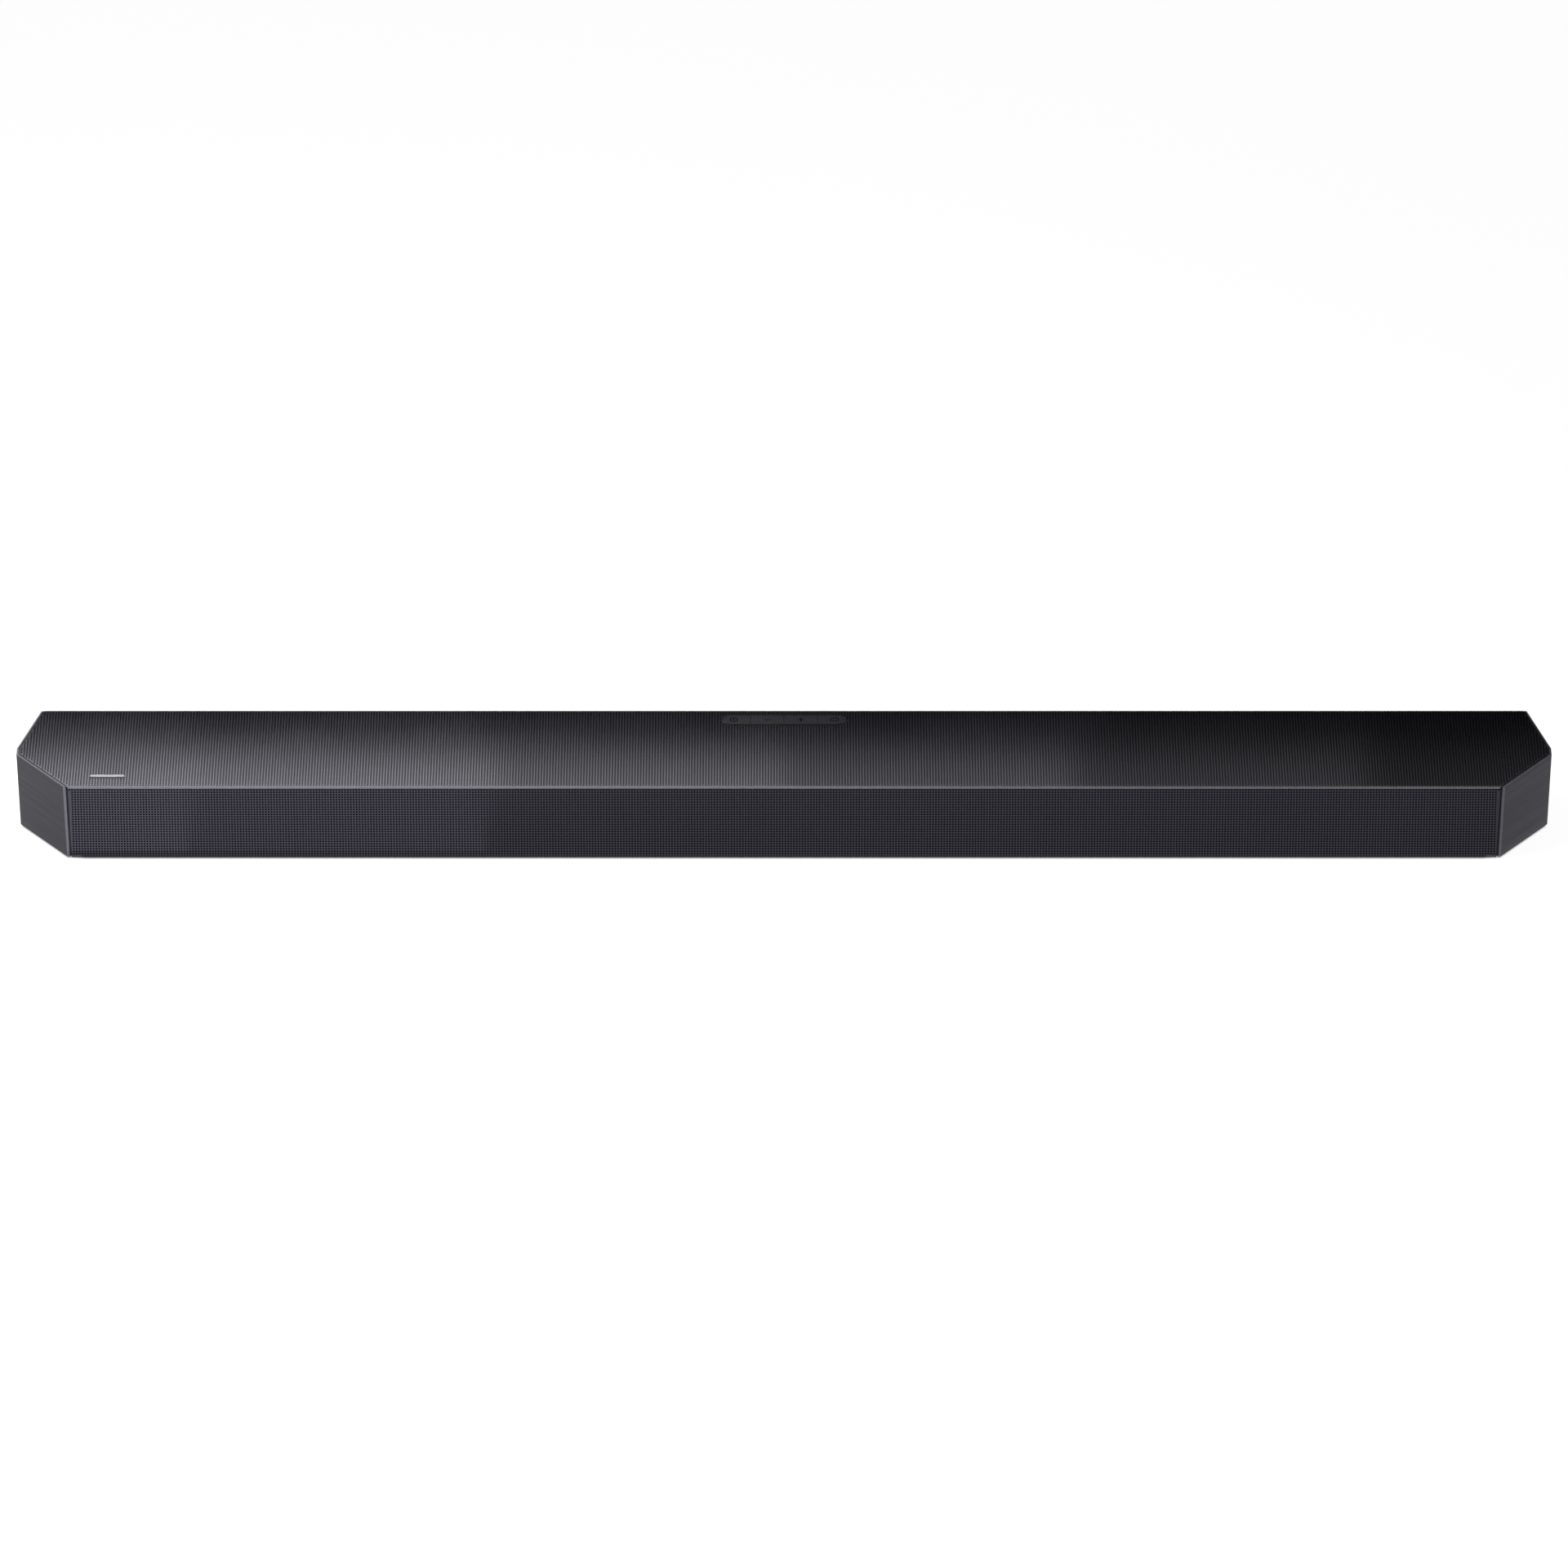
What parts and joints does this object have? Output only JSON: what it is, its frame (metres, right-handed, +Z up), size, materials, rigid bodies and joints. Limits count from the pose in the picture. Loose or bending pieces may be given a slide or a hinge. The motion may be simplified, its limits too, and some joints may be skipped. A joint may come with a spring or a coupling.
{
  "type": "soundbar",
  "caption": "Long low soundbar with a bent perforated grille, cut-back corners, brushed end caps and a pill-shaped key pad on top.",
  "frame": {"origin": "centre of the bar's plan, on the table under its feet", "axes": "+X to the right along the bar's length, +Y to the back, +Z up; the grille faces -Y"},
  "size_m": [1.0308, 0.105, 0.0567],
  "materials": {
    "grille_paint": "perforated steel, dark charcoal satin powder coat",
    "cap_plastic": "moulded, fine lengthwise hairline texture",
    "cover_plastic": "moulded, fine spark texture",
    "chassis_plastic": "moulded, plain",
    "acoustic_cloth": "thin black woven acoustic cloth",
    "badge_metal": "polished, blank",
    "control_plastic": "moulded, satin",
    "circuit_board": "green solder mask",
    "chip_plastic": "moulded epoxy",
    "shield_metal": "tinned steel",
    "ribbon_film": "flat flexible film",
    "basket_plastic": "glass filled, matt",
    "surround_rubber": "soft black",
    "spider_cloth": "resin treated cotton",
    "magnet_steel": "zinc plated",
    "cone_paper": "pressed fibre",
    "dome_silk": "coated silk",
    "gasket_foam": "closed cell foam",
    "screw_steel": "black zinc",
    "capacitor_can": "sleeved can",
    "heat_sink_aluminium": "extruded, natural",
    "socket_plastic": "moulded black",
    "wire_cover": "PVC",
    "foot_rubber": "matt black",
    "insert_brass": "turned",
    "symbol_ink": "printed on the keys, matt black",
    "label_film": "blank silver-grey film"
  },
  "bodies": {
    "bar": {"grille": "grille_paint", "acoustic_cloth": "acoustic_cloth", "chassis": "chassis_plastic", "rear_cover": "cover_plastic", "signal_tray": "cover_plastic", "power_tray": "cover_plastic", "bottom_cover": "cover_plastic", "end_cap_left": "cap_plastic", "end_cap_right": "cap_plastic", "badge": "badge_metal", "control_bezel": "control_plastic", "key_board": "circuit_board", "tact_switches": "shield_metal", "ribbon_cable": "ribbon_film", "woofer_baskets": "basket_plastic", "woofer_surrounds": "surround_rubber", "woofer_spiders": "spider_cloth", "woofer_magnets": "magnet_steel", "tweeter_bodies": "basket_plastic", "tweeter_domes": "dome_silk", "up_baskets": "basket_plastic", "up_surrounds": "surround_rubber", "up_spiders": "spider_cloth", "up_magnets": "magnet_steel", "driver_gaskets": "gasket_foam", "driver_screws": "screw_steel", "main_board": "circuit_board", "board_chips": "chip_plastic", "capacitors": "capacitor_can", "heat_sink": "heat_sink_aluminium", "wireless_module": "shield_metal", "hdmi_sockets": "shield_metal", "optical_socket": "socket_plastic", "usb_socket": "shield_metal", "power_jack": "socket_plastic", "speaker_wires": "wire_cover", "status_board": "circuit_board", "case_screws": "screw_steel", "board_screws": "screw_steel", "rubber_feet": "foot_rubber", "bracket_inserts": "insert_brass", "rating_label": "label_film"},
    "power_key": {"power_key": "control_plastic"},
    "volume_down_key": {"volume_down_key": "control_plastic"},
    "volume_up_key": {"volume_up_key": "control_plastic"},
    "source_key": {"source_key": "control_plastic"},
    "cone_left_outer": {"cone_left_outer": "cone_paper"},
    "cone_left_inner": {"cone_left_inner": "cone_paper"},
    "cone_centre_left": {"cone_centre_left": "cone_paper"},
    "cone_centre_right": {"cone_centre_right": "cone_paper"},
    "cone_right_inner": {"cone_right_inner": "cone_paper"},
    "cone_right_outer": {"cone_right_outer": "cone_paper"},
    "up_cone_left": {"up_cone_left": "cone_paper"},
    "up_cone_right": {"up_cone_right": "cone_paper"}
  },
  "joints": [
    {"name": "key_power_press", "type": "slide", "parent": "bar", "child": "power_key", "axis": [0, 0, -1], "range_m": [0, 0.0006], "stiffness_N_per_m": 600, "springref_m": -0.0005},
    {"name": "key_volume_down_press", "type": "slide", "parent": "bar", "child": "volume_down_key", "axis": [0, 0, -1], "range_m": [0, 0.0006], "stiffness_N_per_m": 600, "springref_m": -0.0005},
    {"name": "key_volume_up_press", "type": "slide", "parent": "bar", "child": "volume_up_key", "axis": [0, 0, -1], "range_m": [0, 0.0006], "stiffness_N_per_m": 600, "springref_m": -0.0005},
    {"name": "key_source_press", "type": "slide", "parent": "bar", "child": "source_key", "axis": [0, 0, -1], "range_m": [0, 0.0006], "stiffness_N_per_m": 600, "springref_m": -0.0005},
    {"name": "voice_coil_left_outer", "type": "slide", "parent": "bar", "child": "cone_left_outer", "axis": [0, -1, 0], "range_m": [-0.002, 0.002], "stiffness_N_per_m": 1500},
    {"name": "voice_coil_left_inner", "type": "slide", "parent": "bar", "child": "cone_left_inner", "axis": [0, -1, 0], "range_m": [-0.002, 0.002], "stiffness_N_per_m": 1500},
    {"name": "voice_coil_centre_left", "type": "slide", "parent": "bar", "child": "cone_centre_left", "axis": [0, -1, 0], "range_m": [-0.002, 0.002], "stiffness_N_per_m": 1500},
    {"name": "voice_coil_centre_right", "type": "slide", "parent": "bar", "child": "cone_centre_right", "axis": [0, -1, 0], "range_m": [-0.002, 0.002], "stiffness_N_per_m": 1500},
    {"name": "voice_coil_right_inner", "type": "slide", "parent": "bar", "child": "cone_right_inner", "axis": [0, -1, 0], "range_m": [-0.002, 0.002], "stiffness_N_per_m": 1500},
    {"name": "voice_coil_right_outer", "type": "slide", "parent": "bar", "child": "cone_right_outer", "axis": [0, -1, 0], "range_m": [-0.002, 0.002], "stiffness_N_per_m": 1500},
    {"name": "voice_coil_up_left", "type": "slide", "parent": "bar", "child": "up_cone_left", "axis": [0, 0, 1], "range_m": [-0.002, 0.002], "stiffness_N_per_m": 1500},
    {"name": "voice_coil_up_right", "type": "slide", "parent": "bar", "child": "up_cone_right", "axis": [0, 0, 1], "range_m": [-0.002, 0.002], "stiffness_N_per_m": 1500}
  ]
}
